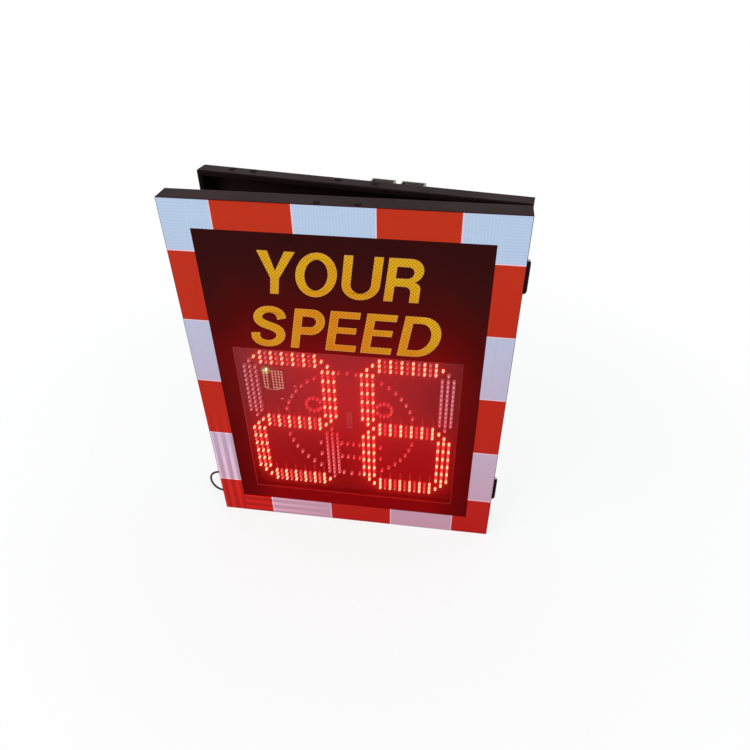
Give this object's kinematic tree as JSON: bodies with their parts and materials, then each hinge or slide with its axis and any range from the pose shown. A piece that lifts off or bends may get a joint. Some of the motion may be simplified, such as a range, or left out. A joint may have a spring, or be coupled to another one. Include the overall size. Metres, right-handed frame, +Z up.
{
  "type": "radar speed sign",
  "caption": "Shallow steel radar speed sign standing ajar: a hinged display door with LED digits behind a window and reflective tape round its face, on a rear case for the battery",
  "frame": {"origin": "middle of the rear case's underside, on which the sign stands", "axes": "+X to the hinged edge, to the right as seen from the front; +Y to the back; +Z up"},
  "size_m": [0.712, 0.2117, 0.8068],
  "materials": {
    "case_paint": "semi-gloss charcoal powder coat",
    "panel_paint": "dark red semi-gloss face",
    "window_sheet": "clear polished sheet, tinted red",
    "tape_film": "red and white retroreflective film",
    "lamp_red": "clear red lens",
    "lamp_green": "water-clear lens, unlit",
    "lamp_face": "water-clear lens, unlit",
    "board_mask": "black solder mask",
    "radar_laminate": "green solder mask",
    "driver_laminate": "green solder mask",
    "coil_ferrite": "grey ferrite",
    "status_lens": "green lens, lit",
    "connector_moulding": "black moulded nylon",
    "standoff_brass": "turned brass",
    "hinge_steel": "painted with the case",
    "pin_steel": "bright steel",
    "lock_zinc": "chromed zinc",
    "lock_steel": "plated steel",
    "channel_aluminium": "mill finish",
    "seal_rubber": "closed-cell black rubber",
    "gland_nylon": "black nylon",
    "lead_sheath": "black PVC sheath",
    "battery_shell": "moulded shell",
    "clamp_steel": "zinc plated strip",
    "charger_shell": "black anodised"
  },
  "bodies": {
    "case": {"rear_tray": "case_paint", "rim_seal": "seal_rubber", "left_channel": "channel_aluminium", "right_channel": "channel_aluminium", "upper_hinge_case_leaf": "hinge_steel", "lower_hinge_case_leaf": "hinge_steel", "upper_hinge_pin": "pin_steel", "lower_hinge_pin": "pin_steel", "upper_lock_barrel": "lock_zinc", "lower_lock_barrel": "lock_zinc", "lock_nuts": "lock_zinc", "battery_pack": "battery_shell", "battery_clamp": "clamp_steel", "charge_controller": "charger_shell", "terminal_block": "connector_moulding", "supply_gland": "gland_nylon", "supply_gland_nut": "gland_nylon", "case_plugs": "gland_nylon"},
    "door": {"door_tray": "case_paint", "front_panel": "panel_paint", "window": "window_sheet", "left_tape": "tape_film", "right_tape": "tape_film", "top_tape": "tape_film", "bottom_tape": "tape_film", "tens_red_lamps": "lamp_red", "units_red_lamps": "lamp_red", "tens_green_lamps": "lamp_green", "units_green_lamps": "lamp_green", "face_sign_lamps": "lamp_face", "led_board": "board_mask", "radar_board": "radar_laminate", "driver_board": "driver_laminate", "driver_coils": "coil_ferrite", "status_lamp": "status_lens", "pin_connector": "connector_moulding", "board_standoffs": "standoff_brass", "radar_standoffs": "standoff_brass", "driver_standoffs": "standoff_brass", "upper_hinge_door_leaf": "hinge_steel", "lower_hinge_door_leaf": "hinge_steel", "harness_grommet": "seal_rubber", "lead_glands": "gland_nylon", "lead_gland_nuts": "gland_nylon", "door_plugs": "gland_nylon", "looped_lead": "lead_sheath"},
    "upper_lock": {"upper_lock_spindle": "lock_steel"},
    "lower_lock": {"lower_lock_spindle": "lock_steel"}
  },
  "joints": [
    {"name": "door_hinge", "type": "hinge", "parent": "case", "child": "door", "pos_m": [0.331, -0.02, 0.4025], "axis": [0, 0, 1], "range_deg": [-8.4, 150]},
    {"name": "upper_lock_turn", "type": "hinge", "parent": "case", "child": "upper_lock", "pos_m": [-0.295, 0, 0.615], "axis": [0, 1, 0], "range_deg": [0, 90]},
    {"name": "lower_lock_turn", "type": "hinge", "parent": "case", "child": "lower_lock", "pos_m": [-0.295, 0, 0.19], "axis": [0, 1, 0], "range_deg": [0, 90]}
  ]
}
